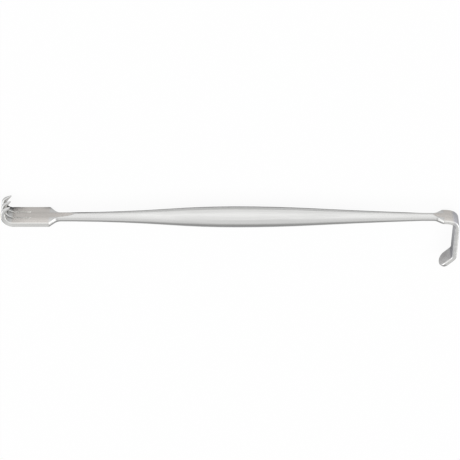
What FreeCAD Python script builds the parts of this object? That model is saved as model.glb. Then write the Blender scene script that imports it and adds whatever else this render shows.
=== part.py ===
import FreeCAD, Part
import os
import re

import Sketcher
from FreeCAD import Vector

# A double-ended hand retractor, forged and ground in one piece: a round spindle handle,
# a three-pronged rake at one end and a right-angled blade with an inturned lip at the other.
#
# The sketches share one frame. X runs along the handle from the rake to the blade, with
# zero at the thickest part of the handle. Y is the way the prongs hook, so the blade
# points along minus Y. Z is the way across the rake and the blade.

# Driving sizes in millimetres and degrees, as (name, value, meaning).
SIZES = [
    ("belly_diameter", 7.4, "thickest part of the handle"),
    ("rake_arc_reach", 23.0, "belly to where the outline turns from round to hollow, rake side"),
    ("rake_arc_diameter", 5.84, "handle where the outline turns, rake side"),
    ("rake_neck_diameter", 3.22, "round neck behind the rake"),
    ("rake_neck_length", 8.9, "rake shoulder back to the end of the handle's taper"),
    ("blade_arc_reach", 28.0, "belly to where the outline turns from round to hollow, blade side"),
    ("blade_arc_diameter", 5.98, "handle where the outline turns, blade side"),
    ("blade_neck_diameter", 2.82, "round neck behind the blade"),
    ("blade_neck_length", 7.4, "wide end of the blade flare back to the end of the handle's taper"),
    ("shoulder_distance", 65.9, "belly to the shoulder corners of the rake"),
    ("shoulder_angle", 45.0, "slope of the rake shoulders"),
    ("shoulder_hollow", 3.0, "hollow radius between neck and rake shoulder"),
    ("rake_flat_length", 9.1, "rake shoulder back to the points of the rake flats"),
    ("rake_width", 8.5, "width of the rake plate"),
    ("rake_thickness", 1.95, "thickness of the rake plate"),
    ("rake_edge_radius", 0.25, "rounding of the rake edges"),
    ("plate_length", 12.6, "rake shoulder to the start of the prong bend"),
    ("bend_radius", 3.25, "middle line radius of the prong bend"),
    ("prong_rise", 0.65, "straight part of a prong above the bend"),
    ("curl_radius", 2.7, "middle line radius of the prong curl"),
    ("curl_angle", 52.0, "turn of the prong curl"),
    ("prong_middle_width", 1.85, "width of a prong where its curl starts"),
    ("prong_middle_depth", 1.7, "depth of a prong where its curl starts"),
    ("point_diameter", 1.3, "roundish section of a prong where its point starts"),
    ("point_length", 2.05, "straight point of a prong past the curl"),
    ("tip_diameter", 0.38, "blunt end of a prong"),
    ("slot_width", 0.5, "gap between two prongs at the plate"),
    ("slot_depth", 6.1, "length of a slot on the hook side of the plate"),
    ("slot_slope", 18.0, "mean slope of the run-out of a slot"),
    ("slot_wheel_radius", 15.0, "radius of the run-out of a slot"),
    ("flare_distance", 73.4, "belly to the wide end of the blade flare"),
    ("flare_angle", 34.0, "slope of the blade flare"),
    ("flare_hollow", 2.5, "hollow radius between neck and blade flare"),
    ("blade_flat_length", 3.9, "wide end of the blade flare back to the points of its flats"),
    ("blade_thickness", 1.65, "thickness of the blade"),
    ("blade_root_width", 6.2, "width of the blade at its bend"),
    ("blade_fold_width", 6.2, "width of the blade at its fold"),
    ("blade_straight", 0.64, "straight part of the blade before its bend"),
    ("blade_lead_radius", 7.0, "outer radius of the gentle start of the blade bend"),
    ("blade_lead_angle", 24.0, "turn of the gentle start of the blade bend"),
    ("blade_bend_radius", 2.0, "inner radius of the blade bend"),
    ("blade_drop", 18.65, "top of the blade to its fold, along the outer face"),
    ("fold_radius", 1.5, "inner radius of the fold"),
    ("lip_angle", 42.0, "turn of the lip towards the handle"),
    ("lip_length", 7.1, "length of the lip past its fold, along the outer face"),
    ("lip_end_width", 0.3, "straight end of the lip between its round corners"),
    ("blade_edge_radius", 0.45, "rounding of the blade edges"),
]
PRONG_COUNT = 3
OVERRUN = "1.2"  # length of a grinding outline against that of the flat it leaves
SHARP = 0.3  # least turn, in radians, between the faces at an edge that is rounded
NEAR = 0.1  # how close, in millimetres, an edge lies to the place where it is looked for

# Corner radius of a prong's section against its depth. Half of the depth makes it round.
MIDDLE_ROUNDING = "0.35"
POINT_ROUNDING = "0.45"
TIP_ROUNDING = "0.48"

# Sizes that follow from the driving ones.
CUT_REACH = "(rake_width + blade_root_width)"  # how far a cutting outline reaches past the steel
BEND = "(shoulder_distance + plate_length)"  # belly to the start of the prong bend
PRONG_WIDTH = f"((rake_width - slot_width * {PRONG_COUNT - 1}) / {PRONG_COUNT})"
PITCH = f"((rake_width + slot_width) / {PRONG_COUNT})"
FIRST_PRONG = f"(-{PITCH} * {PRONG_COUNT - 1} / 2)"
LIP_CORNER = "((blade_fold_width - lip_end_width) / 2)"

document = FreeCAD.newDocument("retractor")
sheet = document.addObject("Spreadsheet::Sheet", "sizes")
for row, (name, value, meaning) in enumerate(SIZES, start=1):
    sheet.set(f"A{row}", meaning)
    sheet.set(f"B{row}", str(value))
    sheet.setAlias(f"B{row}", name)
document.recompute()

body = document.addObject("PartDesign::Body", "retractor")
body.Label = "retractor"


def bound(expression):
    """The expression with each driving size looked up on the sheet."""
    aliases = {size[0] for size in SIZES}
    return re.sub(
        "[a-z_]+", lambda word: f"sizes.{word[0]}" if word[0] in aliases else word[0], expression
    )


def number(expression):
    """The value of an expression of driving sizes."""
    value = sheet.evalExpression(bound(expression))
    return float(getattr(value, "Value", value))


def point(corner):
    """The place in a sketch of a corner given by two expressions."""
    return Vector(number(corner[0]), number(corner[1]), 0)


def origin_feature(role):
    """The body's own origin plane or axis of this role."""
    return next(feature for feature in body.Origin.OriginFeatures if feature.Role == role)


def offset(x="0", y="0", z="0", turn="0"):
    """An expression that moves a sketch in its plane's own directions and turns it about Y."""
    spot = f"create(<<vector>>; {x}; {y}; {z})"
    axis = "create(<<vector>>; 0; 1; 0)"
    return f"create(<<placement>>; {spot}; create(<<rotation>>; {axis}; {turn}))"


def new_sketch(name, plane, moved=None):
    """An empty sketch on one of the body's origin planes, or moved from it."""
    sketch = body.newObject("Sketcher::SketchObject", name)
    sketch.AttachmentSupport = [(origin_feature(plane), "")]
    sketch.MapMode = "FlatFace"
    if moved:
        sketch.setExpression("AttachmentOffset", bound(moved))
    return sketch


def constrain(sketch, kind, *where):
    return sketch.addConstraint(Sketcher.Constraint(kind, *where))


def dimension(sketch, kind, *where):
    """Add a dimension whose last item is its expression, and bind it to the sheet."""
    *where, expression = where
    index = constrain(sketch, kind, *where, number(expression))
    sketch.setExpression(f"Constraints[{index}]", bound(expression))


def pin(sketch, edge, end, corner):
    """Hold one point of an edge at a corner given by two expressions."""
    dimension(sketch, "DistanceX", -1, 1, edge, end, corner[0])
    dimension(sketch, "DistanceY", -1, 1, edge, end, corner[1])


def short_arc(start, end, radius):
    """The short arc from start to end. A negative radius turns it clockwise."""
    chord = end - start
    middle = (start + end) / 2
    left = Vector(-chord.y, chord.x, 0).normalize()
    height = (radius**2 - (chord.Length / 2) ** 2) ** 0.5
    centre = middle + left * (height if radius > 0 else -height)
    crown = centre + (middle - centre).normalize() * abs(radius)
    return Part.Arc(start, crown, end)


def draw(sketch, corners, closed=True):
    """Draw an outline through corners given as (x, y) or (x, y, radius).

    A radius makes an arc of the edge that starts at its corner. The arc turns clockwise where
    the radius is negative.
    """
    ends = []
    edges = len(corners) if closed else len(corners) - 1
    for index, corner in enumerate(corners[:edges]):
        start, end = point(corner), point(corners[(index + 1) % len(corners)])
        first, last = 1, 2
        if len(corner) == 2:
            edge = sketch.addGeometry(Part.LineSegment(start, end))
        else:
            radius = corner[2]
            edge = sketch.addGeometry(short_arc(start, end, number(radius)))
            dimension(sketch, "Radius", edge, f"abs({radius})")
            if number(radius) < 0:
                first, last = 2, 1
        pin(sketch, edge, first, corner)
        ends.append((edge, first, last))
    followers = ends[1:] + ends[:1] if closed else ends[1:]
    for (edge, _, last), (following, first, _) in zip(ends, followers):
        constrain(sketch, "Coincident", edge, last, following, first)
    if not closed:
        pin(sketch, ends[-1][0], ends[-1][2], corners[-1])


def mirrored(corners):
    """The same outline of lines and arcs on the other side of the sketch's X axis."""
    return [(x, f"-({y})", *(f"-({radius})" for radius in bend)) for x, y, *bend in corners]


def finish(made):
    """Compute a new feature and stop where it failed or came out broken."""
    document.recompute()
    if made.State != ["Up-to-date"] or made.Shape.isNull() or not made.Shape.isValid():
        raise RuntimeError(f"{made.Name} failed: {made.State}")
    return made


def extrude(kind, name, sketch, width):
    """A pad or a pocket of a sketch, evenly to both sides of its plane."""
    made = body.newObject(f"PartDesign::{kind}", name)
    made.Profile = sketch
    made.SideType = "Symmetric"
    made.setExpression("Length", bound(width))
    return finish(made)


def flare(side, distance, angle, hollow, neck, corner):
    """Corners from a round neck through a hollow arc and a slope to a plate's wide end."""
    foot = f"({distance} - ({corner} - {neck}) / tan({angle}))"
    touch = f"{hollow} * tan({angle} / 2)"
    return [
        (f"{side}({foot} - {touch})", neck),
        (f"{side}({foot} + {touch} * cos({angle}))", f"{neck} + {touch} * sin({angle})"),
        (f"{side}{distance}", corner),
        (f"{side}{distance}", "0"),
    ]


def taper(side, distance, reach, turn_diameter, neck_diameter):
    """The turning point and the neck of a taper, and the radii of its two tangent arcs.

    The first arc leaves the belly along the handle's axis and ends at the turning point. The
    second goes on from there in the same direction and ends at the neck.
    """
    drop = f"((belly_diameter - {turn_diameter}) / 2)"
    round_radius = f"(({reach}^2 + {drop}^2) / (2 * {drop}))"
    slope = f"2 * atan({drop} / {reach})"
    run, fall = f"({distance} - {reach})", f"(({turn_diameter} - {neck_diameter}) / 2)"
    hollow_radius = f"(sqrt({run}^2 + {fall}^2) / (2 * sin({slope} - atan({fall} / {run}))))"
    turning_point = (f"{side}{reach}", f"{turn_diameter} / 2")
    neck = (f"{side}{distance}", f"{neck_diameter} / 2")
    return turning_point, neck, round_radius, hollow_radius


def spindle():
    """The round handle, turned about X, with a flare at each end."""
    belly = "belly_diameter / 2"
    rake_neck = "rake_neck_diameter / 2"
    blade_neck = "blade_neck_diameter / 2"
    rake_corner = "sqrt(rake_width^2 + rake_thickness^2) / 2"
    blade_corner = "sqrt(blade_root_width^2 + blade_thickness^2) / 2"
    rake_foot, rake_slope, rake_wide, rake_axis = flare(
        "-", "shoulder_distance", "shoulder_angle", "shoulder_hollow", rake_neck, rake_corner
    )
    blade_foot, blade_slope, blade_wide, blade_axis = flare(
        "", "flare_distance", "flare_angle", "flare_hollow", blade_neck, blade_corner
    )
    rake_turn, rake_end, rake_round, rake_hollow = taper(
        "-",
        "(shoulder_distance - rake_neck_length)",
        "rake_arc_reach",
        "rake_arc_diameter",
        "rake_neck_diameter",
    )
    blade_turn, blade_end, blade_round, blade_hollow = taper(
        "",
        "(flare_distance - blade_neck_length)",
        "blade_arc_reach",
        "blade_arc_diameter",
        "blade_neck_diameter",
    )
    sketch = new_sketch("spindle_outline", "XY_Plane")
    draw(
        sketch,
        [
            ("0", belly, rake_round),
            (*rake_turn, f"-{rake_hollow}"),
            rake_end,
            (*rake_foot, "-shoulder_hollow"),
            rake_slope,
            rake_wide,
            rake_axis,
            blade_axis,
            blade_wide,
            (*blade_slope, "-flare_hollow"),
            blade_foot,
            (*blade_end, f"-{blade_hollow}"),
            (*blade_turn, blade_round),
        ],
    )
    turned = body.newObject("PartDesign::Revolution", "spindle")
    turned.Profile = sketch
    turned.ReferenceAxis = (origin_feature("X_Axis"), [""])
    turned.Angle = 360.0
    finish(turned)


def rake_plate():
    """The flat plate of the rake, from its shoulder to the start of the bend."""
    half = "rake_thickness / 2"
    near, far = "-shoulder_distance", f"-{BEND}"
    sketch = new_sketch("rake_plate_outline", "XY_Plane")
    draw(sketch, [(far, f"-{half}"), (near, f"-{half}"), (near, half), (far, half)])
    extrude("Pad", "rake_plate", sketch, "rake_width")


def grind_flats(end, side, distance, length, thickness, neck, width):
    """Grind a flare flat at its sides, and above and below down to points on the neck."""
    run = f"{length} * {OVERRUN}"
    rise = f"({neck} - {thickness}) / 2 * {OVERRUN}^2"
    radius = f"(({run})^2 + ({rise})^2) / (2 * {rise})"
    turn = "" if side else "-"
    wide_end = f"{side}{distance}"
    neck_end = f"{side}({distance} - {run})"
    face = [
        (wide_end, f"{thickness} / 2", f"{turn}({radius})"),
        (neck_end, f"{thickness} / 2 + {rise}"),
        (neck_end, CUT_REACH),
        (wide_end, CUT_REACH),
    ]
    edge = [
        (wide_end, f"{width} / 2"),
        (neck_end, f"{width} / 2"),
        (neck_end, CUT_REACH),
        (wide_end, CUT_REACH),
    ]
    for part, plane, cut in (("flats", "XY_Plane", face), ("flare_sides", "XZ_Plane", edge)):
        sketch = new_sketch(f"{end}_{part}_outline", plane)
        draw(sketch, cut)
        draw(sketch, mirrored(cut))
        extrude("Pocket", f"{end}_{part}", sketch, f"2 * {CUT_REACH}")


def fillet(name, radius, edges):
    """Round some edges of the body so far."""
    base = body.Tip
    rounded = body.newObject("PartDesign::Fillet", name)
    rounded.Base = (base, edges)
    rounded.setExpression("Radius", bound(radius))
    return finish(rounded)


def sharp_edges(inside):
    """Names of the sharp edges of the body so far whose middle passes a test."""
    shape = body.Shape
    names = []
    for index, edge in enumerate(shape.Edges, start=1):
        middle = edge.valueAt((edge.FirstParameter + edge.LastParameter) / 2)
        faces = shape.ancestorsOfType(edge, Part.Face)
        if len(faces) < 2 or not inside(middle):
            continue
        normals = [face.normalAt(*face.Surface.parameter(middle)) for face in faces[:2]]
        if abs(normals[0].getAngle(normals[1])) > SHARP:
            names.append(f"Edge{index}")
    return names


def on_rake_edge(middle):
    """Whether a point lies on the long edges of the rake plate."""
    along = -number(BEND) < middle.x < -number("shoulder_distance")
    return along and abs(middle.z) > number("rake_width") / 2 - NEAR


def on_blade_edge(middle):
    """Whether a point lies on the edges of the blade, past its flare."""
    return middle.x > number("flare_distance") + NEAR


def blade():
    """The right-angled blade with its inturned lip."""
    top = "blade_thickness / 2"
    bend = "(blade_bend_radius + blade_thickness)"
    lead = "(blade_lead_radius - blade_thickness)"
    lead_sin, lead_cos = "sin(blade_lead_angle)", "cos(blade_lead_angle)"
    lead_x = "(flare_distance + blade_straight)"
    bend_x = f"({lead_x} + (blade_lead_radius - {bend}) * {lead_sin})"
    bend_y = f"({top} - blade_lead_radius + (blade_lead_radius - {bend}) * {lead_cos})"
    outer = f"({bend_x} + {bend})"
    inner = f"({bend_x} + blade_bend_radius)"
    fold = f"({top} - blade_drop)"
    fold_touch = "((fold_radius + blade_thickness) * tan(lip_angle / 2))"
    inner_fold = f"({fold} + blade_thickness * tan(lip_angle / 2))"
    inner_touch = "(fold_radius * tan(lip_angle / 2))"
    end = (f"{outer} - lip_length * sin(lip_angle)", f"{fold} - lip_length * cos(lip_angle)")
    outside = [
        ("flare_distance", top),
        (lead_x, top, "-blade_lead_radius"),
        (f"{bend_x} + {bend} * {lead_sin}", f"{bend_y} + {bend} * {lead_cos}", f"-{bend}"),
        (outer, bend_y),
        (outer, f"{fold} + {fold_touch}", "-(fold_radius + blade_thickness)"),
        (f"{outer} - {fold_touch} * sin(lip_angle)", f"{fold} - {fold_touch} * cos(lip_angle)"),
        end,
    ]
    inside = [
        (
            f"{end[0]} - blade_thickness * cos(lip_angle)",
            f"{end[1]} + blade_thickness * sin(lip_angle)",
        ),
        (
            f"{inner} - {inner_touch} * sin(lip_angle)",
            f"{inner_fold} - {inner_touch} * cos(lip_angle)",
            "fold_radius",
        ),
        (inner, f"{inner_fold} + {inner_touch}"),
        (inner, bend_y, "blade_bend_radius"),
        (
            f"{bend_x} + blade_bend_radius * {lead_sin}",
            f"{bend_y} + blade_bend_radius * {lead_cos}",
            lead,
        ),
        (lead_x, f"-{top}"),
        ("flare_distance", f"-{top}"),
    ]
    sketch = new_sketch("blade_outline", "XY_Plane")
    draw(sketch, outside + inside)
    extrude("Pad", "blade", sketch, "blade_root_width + blade_fold_width")

    sides = [
        (CUT_REACH, "blade_root_width / 2"),
        (bend_y, "blade_root_width / 2"),
        (fold, "blade_fold_width / 2"),
        (f"{end[1]} - {CUT_REACH}", "blade_fold_width / 2"),
        (f"{end[1]} - {CUT_REACH}", f"blade_fold_width / 2 + {CUT_REACH}"),
        (CUT_REACH, f"blade_fold_width / 2 + {CUT_REACH}"),
    ]
    sketch = new_sketch("blade_sides_outline", "YZ_Plane", offset(z=outer))
    draw(sketch, sides)
    draw(sketch, mirrored(sides))
    extrude("Pocket", "blade_sides", sketch, f"2 * ({outer} - flare_distance)")

    side = "blade_fold_width / 2"
    corner = [
        (f"{LIP_CORNER} - lip_length", side, LIP_CORNER),
        ("-lip_length", f"{side} - {LIP_CORNER}"),
        (f"-lip_length - {CUT_REACH}", f"{side} - {LIP_CORNER}"),
        (f"-lip_length - {CUT_REACH}", f"{side} + {CUT_REACH}"),
        (f"{LIP_CORNER} - lip_length", f"{side} + {CUT_REACH}"),
    ]
    sketch = new_sketch("lip_outline", "YZ_Plane", offset(x=fold, z=outer, turn="-lip_angle"))
    draw(sketch, corner)
    draw(sketch, mirrored(corner))
    extrude("Pocket", "lip_corners", sketch, "2 * (blade_thickness + fold_radius)")


def pattern(name, originals, count):
    """Repeat features across the rake, one prong and slot apart."""
    repeated = body.newObject("PartDesign::LinearPattern", name)
    repeated.Originals = originals
    repeated.Direction = (origin_feature("Z_Axis"), [""])
    repeated.Mode = "Spacing"
    repeated.Occurrences = count
    repeated.setExpression("Offset", bound(PITCH))
    body.Tip = repeated
    return finish(repeated)


def slots():
    """Slots between the prongs, which run out on the hook side of the plate."""
    half = "rake_thickness / 2"
    far = f"-{BEND} - rake_thickness"
    above, below = "rake_thickness", "-rake_thickness"
    top_end = f"slot_depth - {BEND}"
    bottom_end = f"{top_end} - rake_thickness / tan(slot_slope)"
    sketch = new_sketch("slot_outline", "XY_Plane", offset(z=f"-{PITCH} * {PRONG_COUNT - 2} / 2"))
    draw(
        sketch,
        [
            (far, below),
            (bottom_end, below),
            (bottom_end, f"-{half}", "slot_wheel_radius"),
            (top_end, half),
            (top_end, above),
            (far, above),
        ],
    )
    slot = extrude("Pocket", "slot", sketch, "slot_width")
    pattern("slots", [slot], PRONG_COUNT - 1)


def prong_path():
    """Corners of the middle line of a prong, from its root to its tip."""
    left = f"(-{BEND} - bend_radius)"
    height = "(bend_radius + prong_rise)"
    curl_x = f"{left} + curl_radius * (1 - cos(curl_angle))"
    curl_y = f"{height} + curl_radius * sin(curl_angle)"
    return [
        (f"-{BEND}", "0", "-bend_radius"),
        (left, "bend_radius"),
        (left, height, "-curl_radius"),
        (curl_x, curl_y),
        (
            f"{curl_x} + point_length * sin(curl_angle)",
            f"{curl_y} + point_length * cos(curl_angle)",
        ),
    ]


def prong_section(name, station, turn, width, depth, radius):
    """A rounded rectangle across a prong at a station of its middle line."""
    x, y = station[:2]
    side, face = f"({width} / 2)", f"({depth} / 2)"
    sketch = new_sketch(name, "YZ_Plane", offset(x=y, y=FIRST_PRONG, z=x, turn=f"-{turn}"))
    draw(
        sketch,
        [
            (face, f"{radius} - {side}"),
            (face, f"{side} - {radius}", radius),
            (f"{face} - {radius}", side),
            (f"{radius} - {face}", side, radius),
            (f"-{face}", f"{side} - {radius}"),
            (f"-{face}", f"{radius} - {side}", radius),
            (f"{radius} - {face}", f"-{side}"),
            (f"{face} - {radius}", f"-{side}", radius),
        ],
    )
    return sketch


def prongs():
    """The hooked prongs, tapering along their bend to points with blunted tips."""
    path = prong_path()
    line = new_sketch("prong_path", "XY_Plane", offset(z=FIRST_PRONG))
    draw(line, path, closed=False)
    curl_end = "(90 + curl_angle)"
    root = PRONG_WIDTH, "rake_thickness", "rake_edge_radius"
    middle = "prong_middle_width", "prong_middle_depth", f"{MIDDLE_ROUNDING} * prong_middle_depth"
    point_start = "point_diameter", "point_diameter", f"{POINT_ROUNDING} * point_diameter"
    tip = "tip_diameter", "tip_diameter", f"{TIP_ROUNDING} * tip_diameter"
    sections = [
        prong_section("prong_root", path[0], "0", *root),
        prong_section("prong_middle", path[2], "90", *middle),
        prong_section("prong_point", path[3], curl_end, *point_start),
        prong_section("prong_end", path[4], curl_end, *tip),
    ]
    document.recompute()
    prong = body.newObject("PartDesign::AdditivePipe", "prong")
    prong.Profile = sections[0]
    prong.Spine = line
    prong.Mode = "Binormal"
    prong.Binormal = Vector(0, 0, 1)
    prong.Transformation = "Multisection"
    prong.Sections = sections[1:]
    finish(prong)
    pattern("prongs", [prong], PRONG_COUNT)


def seat():
    """Set the part down on its side, with the middle of its underside at the origin."""
    box = body.Shape.optimalBoundingBox()
    body.Placement.Base = Vector(-box.Center.x, -box.Center.y, -box.ZMin)
    document.recompute()


def check():
    """Stop before anything is written where an object or a shape is broken."""
    for item in document.Objects:
        if "Invalid" in item.State or "Error" in item.State:
            raise RuntimeError(f"{item.Name} failed: {item.State}")
        shape = getattr(item, "Shape", None)
        if shape is not None and (shape.isNull() or not shape.isValid()):
            raise RuntimeError(f"{item.Name} has a broken shape")
    if len(body.Shape.Solids) != 1:
        raise RuntimeError("The part is not in one piece")


spindle()
rake_plate()
grind_flats(
    "rake",
    "-",
    "shoulder_distance",
    "rake_flat_length",
    "rake_thickness",
    "rake_neck_diameter",
    "rake_width",
)
fillet("rake_edges", "rake_edge_radius", sharp_edges(on_rake_edge))
grind_flats(
    "blade",
    "",
    "flare_distance",
    "blade_flat_length",
    "blade_thickness",
    "blade_neck_diameter",
    "blade_root_width",
)
blade()
fillet("blade_edges", "blade_edge_radius", sharp_edges(on_blade_edge))
slots()
prongs()
seat()
check()

os.makedirs("parts", exist_ok=True)
body.Shape.exportStep(f"parts/{body.Label}.step")
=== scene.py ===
"""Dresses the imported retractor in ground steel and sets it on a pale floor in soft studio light."""

import math

import bpy
from mathutils import Matrix, Vector

bl_info = {
    "name": "Retractor Studio",
    "version": (1, 0, 0),
    "blender": (4, 5, 0),
    "location": "3D View > Sidebar > Retractor",
    "description": "Ground steel, floor, light and camera for a double-ended hand retractor",
    "category": "Object",
}

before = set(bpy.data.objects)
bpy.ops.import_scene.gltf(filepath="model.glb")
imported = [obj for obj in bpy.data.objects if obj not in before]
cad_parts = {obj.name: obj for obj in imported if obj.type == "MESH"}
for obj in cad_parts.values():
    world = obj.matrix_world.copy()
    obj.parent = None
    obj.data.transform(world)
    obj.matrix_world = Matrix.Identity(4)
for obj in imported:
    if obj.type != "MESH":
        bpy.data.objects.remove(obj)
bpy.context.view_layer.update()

MM = 0.001
RETRACTOR = "retractor"

# Places on the retractor in millimetres, as the part's source has them.
HANDLE_AXIS = (1.7807, 7.7382, 4.25)  # thickest part of the handle's axis
SHOULDER = 65.9  # from there to the rake's shoulders
FLATS_RAKE = 56.5  # to the points of the rake's flats
FLARE = 73.4  # to the wide end of the blade's flare
FLATS_BLADE = 69.3  # to the points of the blade's flats
FOLD = 17.8  # from the axis down to the blade's fold
INNER_FACE = 77.4  # to the blade's inner face
INNER_RIM = 77.85  # to the end of the rim's rounding on that face
LIP_TURN = math.radians(42.0)  # between the blade and its lip
BEND = 78.5  # to where the rake plate turns into its prongs
SLOT_OFFSET = 1.5  # from the middle plane to the middle of each slot
SLOT_END = 72.4  # to the slots' ends in the plate
RAKE_NECK = 1.61  # radius of the neck at the rake
BLADE_NECK = 1.41  # radius of the neck at the blade
RAKE_SIDE = 4.25  # from the middle plane to the rake's side
BLADE_SIDE = 3.1  # from the middle plane to the blade's side
ARC_CENTRES = (-SHOULDER + 16.0, FLARE - 14.0)  # of the grinding arcs at the rake and the blade

# How much each grinding mark lightens or darkens the steel, and how strong the painted highlight on
# the fold and the painted shade on the prongs and sides are.
LINE_CONTRAST = 0.16
BAND_CONTRAST = 0.35
CLOUD_CONTRAST = 0.06
GRAIN_CONTRAST = 0.45
FOLD_HIGHLIGHT = 0.25
PAINTED_PRONG_SHADE = 0.12
PAINTED_SIDE_SHADE = 0.16

# The studio, in metres.
FLOOR_REACH = 3.0
SHADOW_REACH = 0.008
WHITE_SHARE = 0.98  # how much of the white floor the camera sees in place of the paper
# The floor's painted shadow: a faint one for the camera, and for what the steel mirrors a level set
# by open sky, darker behind than in front, with a dark strip beneath the handle.
FAINT_SHADOW = 0.06  # how much the camera sees the floor darken where the piece covers it
MIRRORED_FLOOR = [(0.0, 0.0), (0.41, 0.02), (0.48, 0.62), (0.88, 0.58), (1.0, 0.93)]
FLOOR_BEHIND, FLOOR_IN_FRONT = 0.45, 0.97  # level of the mirrored floor on either side
FRONT_EDGES = (-0.02, 0.012)
STRIP_SHADE = 0.9  # how much darker the strip beneath the handle is in the mirror
STRIP_FRONT, STRIP_BACK, STRIP_ENDS = (0.0102, 0.0086), (0.0025, 0.004), (0.068, 0.062)
LIGHT_TENT = [(0.0, 0.3), (0.09, 0.4), (0.2, 0.72), (0.5, 0.78), (0.7, 0.92), (1.0, 0.96)]
LAMP_SIZE = (1.1, 0.6)
LAMP_WATTS = 1.9
LAMP_PLACES = {"left_light": (-1.0, -0.3, 0.38), "right_light": (1.0, -0.3, 0.38)}
HALF_VIEW = 0.08127  # half the width that the picture shows at the target
TARGET_OFFSET = (-2.07, -4.63)  # right and up from the handle's axis, in millimetres


class Value:
    """A socket in a node tree, so that shader maths can be written as Python expressions."""

    def __init__(self, tree, socket):
        self.tree = tree
        self.socket = socket

    def math(self, operation, *values):
        return self.tree.math(operation, self, *values)

    def __add__(self, other):
        return self.math("ADD", other)

    __radd__ = __add__

    def __sub__(self, other):
        return self.math("SUBTRACT", other)

    def __rsub__(self, other):
        return self.tree.math("SUBTRACT", other, self)

    def __mul__(self, other):
        return self.math("MULTIPLY", other)

    __rmul__ = __mul__

    def maximum(self, other):
        return self.math("MAXIMUM", other)


class Tree:
    """Builds a shader node tree."""

    def __init__(self, nodes, links):
        self.nodes = nodes
        self.links = links
        nodes.clear()

    def add(self, kind, settings=None, values=None, output=0):
        """Add a node, give it its settings, then its socket values or links."""
        node = self.nodes.new(kind)
        for name, setting in (settings or {}).items():
            if name == "stops":
                self.set_stops(node.color_ramp, setting)
            else:
                setattr(node, name, setting)
        for name, value in (values or {}).items():
            socket = node.inputs[name]
            if isinstance(value, Value):
                self.links.new(value.socket, socket)
            else:
                socket.default_value = value
        return Value(self, node.outputs[output]) if node.outputs else node

    def set_stops(self, ramp, stops):
        """Give a colour ramp these (place, grey) stops."""
        while len(ramp.elements) < len(stops):
            ramp.elements.new(1.0)
        for element, (place, grey) in zip(ramp.elements, stops):
            element.position = place
            element.color = (grey, grey, grey, 1.0)

    def math(self, operation, *values):
        return self.add("ShaderNodeMath", {"operation": operation}, dict(enumerate(values)))

    def mix(self, factor, first, second):
        """Blend two colours."""
        first, second = (
            color if isinstance(color, Value) else (*color[:3], 1.0) for color in (first, second)
        )
        return self.add(
            "ShaderNodeMix", {"data_type": "RGBA"}, {0: factor, 6: first, 7: second}, output=2
        )

    def number_mix(self, factor, first, second):
        """Blend two numbers."""
        return self.add("ShaderNodeMix", {"data_type": "FLOAT"}, {0: factor, 2: first, 3: second})

    def vector(self, operation, *values, scale=None):
        """Work on vectors or colours."""
        inputs = dict(enumerate(values))
        if scale is not None:
            inputs["Scale"] = scale
        return self.add("ShaderNodeVectorMath", {"operation": operation}, inputs)

    def vector_length(self, vector):
        return self.add(
            "ShaderNodeVectorMath", {"operation": "LENGTH"}, {0: vector}, output="Value"
        )

    def step(self, value, low, high):
        """0 below low and 1 above high, smooth between them."""
        return self.add(
            "ShaderNodeMapRange",
            {"interpolation_type": "SMOOTHSTEP"},
            {"Value": value, "From Min": low, "From Max": high},
        )

    def noise(self, vector, scale, detail=2.0, roughness=0.5):
        values = {"Vector": vector, "Scale": scale, "Detail": detail, "Roughness": roughness}
        return self.add("ShaderNodeTexNoise", None, values)


def material_tree(name):
    material = bpy.data.materials.new(name)
    material.use_nodes = True
    return material, Tree(material.node_tree.nodes, material.node_tree.links)


class SteelSettings(bpy.types.PropertyGroup):
    """Colours and finish of the ground steel, with painted light and shade in the face, blade, lip
    and edge colours.
    """

    handle_color: bpy.props.FloatVectorProperty(
        name="Handle Color",
        description="Colour of the bright round handle",
        subtype="COLOR",
        default=(0.83, 0.83, 0.82),
        min=0.0,
        max=1.0,
    )
    # Ground flat faces; their warm tint is a painted reflection, standing in for the warm tone of the
    # floor in front of them that they mirror.
    face_color: bpy.props.FloatVectorProperty(
        name="Face Color",
        description="Colour of the ground flat faces",
        subtype="COLOR",
        default=(0.80, 0.765, 0.73),
        min=0.0,
        max=1.0,
    )
    # Painted shade: the blade past its bend is darker and bluer than the rest of the steel, standing
    # in for the shaded floor that it mirrors.
    shaded_blade_color: bpy.props.FloatVectorProperty(
        name="Blade Color",
        description="Colour of the blade past its bend, inside and out",
        subtype="COLOR",
        default=(0.64, 0.64, 0.68),
        min=0.0,
        max=1.0,
    )
    # Painted light: the lip's colour is raised near white so that the lip reads lighter than what it
    # mirrors makes it; its grain is its own.
    lit_lip_color: bpy.props.FloatVectorProperty(
        name="Lip Color",
        description="Colour of the grainy lip",
        subtype="COLOR",
        default=(1.0, 0.98, 0.98),
        min=0.0,
        max=1.0,
    )
    # Partly the polish of the rounded side edges, partly a painted highlight: this colour is lighter
    # than the faces so that the edges read as bright lines.
    edge_polish_and_highlight_color: bpy.props.FloatVectorProperty(
        name="Edge Color",
        description="Colour of the polished side edges",
        subtype="COLOR",
        default=(0.95, 0.95, 0.93),
        min=0.0,
        max=1.0,
    )
    handle_roughness: bpy.props.FloatProperty(
        name="Handle Roughness",
        description="Roughness of the satin handle",
        default=0.18,
        min=0.0,
        max=1.0,
        subtype="FACTOR",
    )
    face_roughness: bpy.props.FloatProperty(
        name="Face Roughness",
        description="Roughness of the ground faces and edges",
        default=0.25,
        min=0.0,
        max=1.0,
        subtype="FACTOR",
    )
    grind_depth: bpy.props.FloatProperty(
        name="Grind Depth",
        description="Depth of the fine grinding marks",
        default=0.000004,
        min=0.0,
        subtype="DISTANCE",
        unit="LENGTH",
    )


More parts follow.
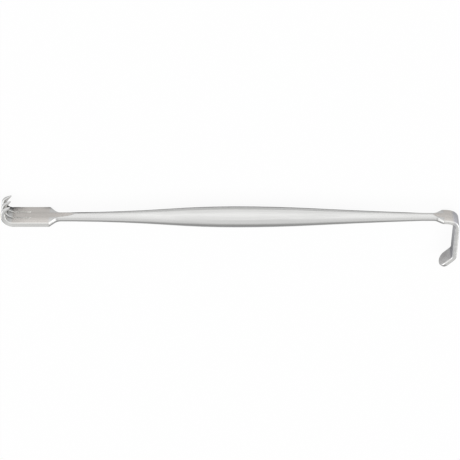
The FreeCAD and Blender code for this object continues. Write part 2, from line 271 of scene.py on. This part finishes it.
class StudioSettings(bpy.types.PropertyGroup):
    """Floor, light and camera."""

    floor_color: bpy.props.FloatVectorProperty(
        name="Floor Color",
        description="Colour of the pale floor",
        subtype="COLOR",
        default=(0.86, 0.86, 0.86),
        min=0.0,
        max=1.0,
    )
    elevation: bpy.props.FloatProperty(
        name="Elevation",
        description="Height of the camera above the floor, seen from the retractor",
        default=math.radians(47.0),
        subtype="ANGLE",
    )
    distance: bpy.props.FloatProperty(
        name="Distance",
        description="Distance from the camera to its target",
        default=0.7,
        min=0.1,
        subtype="DISTANCE",
        unit="LENGTH",
    )


class RETRACTOR_OT_steel(bpy.types.Operator):
    """Give the retractor its ground and brushed steel, with painted highlights on the fold, lip,
    edges and slots and painted shade on the blade, prongs and sides
    """

    bl_idname = "retractor.steel"
    bl_label = "Finish Steel"

    def execute(self, context):
        settings = context.scene.retractor_steel
        material, tree = material_tree("ground_steel")
        object_place = tree.add("ShaderNodeTexCoord", output="Object")
        from_axis = tree.vector("SUBTRACT", object_place, Vector(HANDLE_AXIS) * MM)
        place = tree.vector("MULTIPLY", from_axis, (1 / MM,) * 3)
        x, y, z = (
            tree.add("ShaderNodeSeparateXYZ", None, {"Vector": place}, output=axis)
            for axis in "XYZ"
        )

        # Where each finish, painted highlight and painted shade lies, in millimetres from the
        # thickest part of the handle's axis.
        rake = tree.step(x, -SHOULDER + 0.4, -SHOULDER - 0.4)
        blade_end = tree.step(x, FLARE - 0.4, FLARE + 0.4)
        leaf = tree.step(y, -1.2, -2.6).maximum(tree.step(x, INNER_FACE - 1.4, INNER_FACE))
        lip = tree.step(y, -FOLD + 0.8, -FOLD - 0.6)
        # Painted highlight: a lighter triangle on the inside of the fold between the blade and its
        # lip.
        past_fold = (INNER_FACE - x) * math.sin(LIP_TURN)
        past_fold = past_fold - (y + FOLD - 0.8) * math.cos(LIP_TURN)
        painted_fold_highlight = lip * tree.step(past_fold + z * 0.3, 1.3, 1.0)
        painted_fold_highlight = painted_fold_highlight * tree.step(x, INNER_FACE - 0.1, INNER_FACE - 0.3)
        off_axis = tree.vector_length(tree.vector("MULTIPLY", place, (0.0, 1.0, 1.0)))
        ground_down = tree.step(off_axis, RAKE_NECK - 0.03, RAKE_NECK - 0.12)
        rake_run_out = ground_down * tree.step(x, -FLATS_RAKE, -FLATS_RAKE - 1.0)
        blade_ground = tree.step(off_axis, BLADE_NECK - 0.03, BLADE_NECK - 0.12)
        blade_run_out = blade_ground * tree.step(x, FLATS_BLADE, FLATS_BLADE + 1.0)
        flat = rake.maximum(blade_end).maximum(rake_run_out).maximum(blade_run_out)
        prong = tree.step(x, -BEND, -BEND - 0.8)
        # Painted shade: the shoulder and flare sides near the middle plane are darkened, toning down
        # the bright reflection in them.
        shoulder_side = tree.step(off_axis, RAKE_NECK + 0.05, RAKE_NECK + 0.2)
        shoulder_side = shoulder_side * tree.step(x, -SHOULDER - 0.4, -SHOULDER + 0.2)
        shoulder_side = shoulder_side * tree.step(x, -FLATS_RAKE - 1.0, -FLATS_RAKE - 3.0)
        flare_side = tree.step(off_axis, BLADE_NECK + 0.05, BLADE_NECK + 0.2)
        flare_side = flare_side * tree.step(x, FLARE + 0.4, FLARE - 0.2)
        flare_side = flare_side * tree.step(x, FLATS_BLADE - 1.0, FLATS_BLADE)
        side = shoulder_side.maximum(flare_side) * tree.step(y.math("ABSOLUTE"), 0.9, 0.75)
        width = z.math("ABSOLUTE")
        rake_edge = rake * tree.step(width, RAKE_SIDE - 0.3, RAKE_SIDE - 0.05)
        blade_edge = blade_end * tree.step(width, BLADE_SIDE - 0.5, BLADE_SIDE - 0.1)
        inner_rim = blade_edge * leaf * (1.0 - lip) * tree.step(x, INNER_RIM + 0.1, INNER_RIM - 0.1)
        edge = rake_edge.maximum(blade_edge) * (1.0 - inner_rim * 0.6)
        # Painted light: the slots take the pale edge colour and little metal, so that each reads as a
        # light line in place of the shade inside it.
        near_slot = tree.step((width - SLOT_OFFSET).math("ABSOLUTE"), 0.32, 0.24)
        slot = near_slot * tree.step(x, -SLOT_END + 0.1, -SLOT_END - 0.1)

        # Grinding: fine lines along the handle and the rake, arcs across the shoulders and the
        # blade, grain on the lip.
        along = tree.noise(tree.vector("MULTIPLY", place, (0.05, 5.0, 5.0)), 1.0, 4.0, 0.65)
        bands = tree.noise(tree.vector("MULTIPLY", place, (0.012, 0.8, 0.8)), 1.0, 2.0, 0.5)
        arcs = []
        for centre in ARC_CENTRES:
            spread = tree.vector("SUBTRACT", place, (centre, 0.0, 0.0))
            reach = tree.vector_length(tree.vector("MULTIPLY", spread, (1.0, 0.0, 1.0)))
            ring = tree.add("ShaderNodeCombineXYZ", None, {"X": reach * 2.6, "Y": z * 0.12})
            arcs.append(tree.noise(ring, 1.0, 3.0, 0.6))
        shoulder = tree.step(x, -SHOULDER - 2.5, -SHOULDER - 0.5) * flat
        grain = tree.noise(tree.vector("MULTIPLY", place, (3.2, 3.2, 2.2)), 1.0, 4.0, 0.7)
        cloud = tree.noise(tree.vector("MULTIPLY", place, (0.16, 0.4, 0.4)), 1.0, 2.0, 0.5)
        lines = tree.number_mix(blade_end, tree.number_mix(shoulder, along, arcs[0]), arcs[1])
        marks = tree.number_mix(lip, lines, grain)

        # The flats take the face colour with its painted warm reflection; the prongs keep the
        # handle's colour.
        color = tree.mix(flat * (1.0 - prong), settings.handle_color, settings.face_color)
        # The blade past its bend takes its painted-shade colour.
        color = tree.mix(leaf, color, settings.shaded_blade_color)
        # The lip takes its lightened colour, painted light.
        color = tree.mix(lip, color, settings.lit_lip_color)
        # The side edges and the slots take the lighter edge colour, a painted highlight; the blade's
        # inner rim takes less of it.
        color = tree.mix(edge.maximum(slot) * 0.9, color, settings.edge_polish_and_highlight_color)
        shade = 1.0 + (marks - 0.5) * LINE_CONTRAST + (bands - 0.5) * BAND_CONTRAST
        shade = shade + (cloud - 0.5) * CLOUD_CONTRAST
        # Painted highlight on the fold's inside; the lip's grain is its own.
        shade = shade + painted_fold_highlight * FOLD_HIGHLIGHT + lip * (grain - 0.5) * GRAIN_CONTRAST
        # Painted shade: the prongs, apart from their edges, and the shoulder and flare sides are
        # darkened.
        shade = shade - prong * (1.0 - rake_edge) * PAINTED_PRONG_SHADE - side * PAINTED_SIDE_SHADE
        color = tree.vector("SCALE", color, scale=shade)

        roughness = tree.number_mix(
            flat, settings.handle_roughness, settings.face_roughness
        ) + (marks - 0.5) * 0.12 + (cloud - 0.5) * 0.05 - edge * 0.04 - prong * 0.08

        bump = tree.add(
            "ShaderNodeBump", None, {"Distance": settings.grind_depth, "Height": marks}
        )
        shader = tree.add(
            "ShaderNodeBsdfPrincipled",
            None,
            {
                "Metallic": 1.0 - slot * 0.9,
                "Base Color": color,
                "Roughness": roughness,
                "Normal": bump,
            },
        )
        tree.add("ShaderNodeOutputMaterial", None, {"Surface": shader})
        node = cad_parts[RETRACTOR]
        node.data.materials.clear()
        node.data.materials.append(material)
        return {"FINISHED"}


class RETRACTOR_OT_stage(bpy.types.Operator):
    """Lay the floor and set up the light and the camera"""

    bl_idname = "retractor.stage"
    bl_label = "Set Up Studio"

    def execute(self, context):
        settings = context.scene.retractor_studio
        self.lay_floor(settings)
        self.light_world(context.scene)
        self.add_lamps(context.scene)
        self.add_camera(context.scene, settings)
        return {"FINISHED"}

    def lay_floor(self, settings):
        """Lay pale paper that the camera sees as white with a faint painted shadow, and that the
        steel mirrors as a glow with painted shadow: darker near the piece, behind it and in a strip
        beneath the handle.
        """
        mesh = bpy.data.meshes.new("floor")
        corners = [(-1, -1, 0), (1, -1, 0), (1, 1, 0), (-1, 1, 0)]
        corners = [Vector(corner) * FLOOR_REACH for corner in corners]
        mesh.from_pydata(corners, [], [(0, 1, 2, 3)])
        floor = bpy.data.objects.new("floor", mesh)
        bpy.context.scene.collection.objects.link(floor)
        material, tree = material_tree("floor_paper")
        paper = tree.add("ShaderNodeBsdfDiffuse", None, {"Color": (*settings.floor_color, 1.0)})
        open_sky = tree.add(
            "ShaderNodeAmbientOcclusion", {"samples": 8}, {"Distance": SHADOW_REACH}, output="AO"
        )
        # Painted shadow for the camera: the white dims a little where the floor is less open to the
        # sky.
        pale = (1.0 - FAINT_SHADOW) + FAINT_SHADOW * open_sky
        seen = tree.add("ShaderNodeLightPath", output="Is Camera Ray")
        mirrored = tree.add("ShaderNodeLightPath", output="Is Glossy Ray")
        place = tree.add("ShaderNodeTexCoord", output="Object")
        across, depth = (
            tree.add("ShaderNodeSeparateXYZ", None, {"Vector": place}, output=axis) for axis in "XY"
        )
        # Painted shadow in the mirror: a dark strip beneath the handle, the floor darker behind the
        # piece and where it is less open to the sky.
        beneath = tree.step(depth, *STRIP_FRONT) * tree.step(depth, *STRIP_BACK)
        beneath = beneath * tree.step(across.math("ABSOLUTE"), *STRIP_ENDS)
        shade = tree.add("ShaderNodeValToRGB", {"stops": MIRRORED_FLOOR}, {"Fac": open_sky})
        shade = shade * tree.number_mix(
            tree.step(depth, *FRONT_EDGES), FLOOR_BEHIND, FLOOR_IN_FRONT
        )
        shade = shade * (1.0 - STRIP_SHADE * beneath)
        brightness = tree.number_mix(mirrored, pale, shade)
        white = tree.add("ShaderNodeEmission")
        glow = tree.add("ShaderNodeMixShader", None, {0: brightness, 2: white})
        glowing = mirrored.maximum(seen * WHITE_SHARE)
        surface = tree.add("ShaderNodeMixShader", None, {0: glowing, 1: paper, 2: glow})
        tree.add("ShaderNodeOutputMaterial", None, {"Surface": surface})
        mesh.materials.append(material)

    def light_world(self, scene):
        """Surround the piece with a light tent that is brighter in front than behind."""
        world = bpy.data.worlds.new("studio")
        world.use_nodes = True
        tree = Tree(world.node_tree.nodes, world.node_tree.links)
        seen = tree.add("ShaderNodeLightPath", output="Is Camera Ray")
        direction = tree.add("ShaderNodeTexCoord", output="Generated")
        depth = tree.add("ShaderNodeSeparateXYZ", None, {"Vector": direction}, output="Y")
        tent = tree.add("ShaderNodeValToRGB", {"stops": LIGHT_TENT}, {"Fac": depth * 0.5 + 0.5})
        soft = tree.add("ShaderNodeBackground", None, {"Color": tent})
        white = tree.add("ShaderNodeBackground", None, {"Color": (1.0, 1.0, 1.0, 1.0)})
        surface = tree.add("ShaderNodeMixShader", None, {0: seen, 1: soft, 2: white})
        tree.add("ShaderNodeOutputWorld", None, {"Surface": surface})
        scene.world = world

    def add_lamps(self, scene):
        """Stand a soft lamp at each end of the piece."""
        for name, place in LAMP_PLACES.items():
            lamp = bpy.data.lights.new(name, "AREA")
            lamp.shape = "RECTANGLE"
            lamp.size, lamp.size_y = LAMP_SIZE
            lamp.energy = LAMP_WATTS
            holder = bpy.data.objects.new(name, lamp)
            holder.location = place
            holder.rotation_euler = Vector(place).to_track_quat("Z", "Y").to_euler()
            scene.collection.objects.link(holder)

    def add_camera(self, scene, settings):
        """Look down on the retractor, turned over so that its rake is on the left."""
        rise, run = math.sin(settings.elevation), math.cos(settings.elevation)
        right, up, back = Vector((1, 0, 0)), Vector((0, rise, -run)), Vector((0, run, rise))
        to_right, to_up = TARGET_OFFSET
        target = (Vector(HANDLE_AXIS) + right * to_right + up * to_up) * MM
        camera = bpy.data.cameras.new("camera")
        camera.sensor_fit = "HORIZONTAL"
        camera.lens = camera.sensor_width / 2 / (HALF_VIEW / settings.distance)
        camera.clip_start = 0.01
        holder = bpy.data.objects.new("camera", camera)
        turn = Matrix((right, up, back)).transposed().to_4x4()
        holder.matrix_world = Matrix.Translation(target + back * settings.distance) @ turn
        scene.collection.objects.link(holder)
        scene.camera = holder
        scene.view_settings.view_transform = "Standard"


class RETRACTOR_PT_panel(bpy.types.Panel):
    """Buttons for the retractor's steel and studio"""

    bl_label = "Retractor"
    bl_idname = "RETRACTOR_PT_panel"
    bl_space_type = "VIEW_3D"
    bl_region_type = "UI"
    bl_category = "Retractor"

    def draw(self, context):
        for settings in (context.scene.retractor_steel, context.scene.retractor_studio):
            for name in settings.bl_rna.properties.keys():
                if name not in ("rna_type", "name"):
                    self.layout.prop(settings, name)
        self.layout.operator(RETRACTOR_OT_steel.bl_idname)
        self.layout.operator(RETRACTOR_OT_stage.bl_idname)


CLASSES = (
    SteelSettings,
    StudioSettings,
    RETRACTOR_OT_steel,
    RETRACTOR_OT_stage,
    RETRACTOR_PT_panel,
)


def register():
    for cls in CLASSES:
        bpy.utils.register_class(cls)
    bpy.types.Scene.retractor_steel = bpy.props.PointerProperty(type=SteelSettings)
    bpy.types.Scene.retractor_studio = bpy.props.PointerProperty(type=StudioSettings)


def unregister():
    del bpy.types.Scene.retractor_studio
    del bpy.types.Scene.retractor_steel
    for cls in reversed(CLASSES):
        bpy.utils.unregister_class(cls)


def main():
    register()
    bpy.ops.retractor.steel()
    bpy.ops.retractor.stage()


if __name__ == "__main__":
    main()
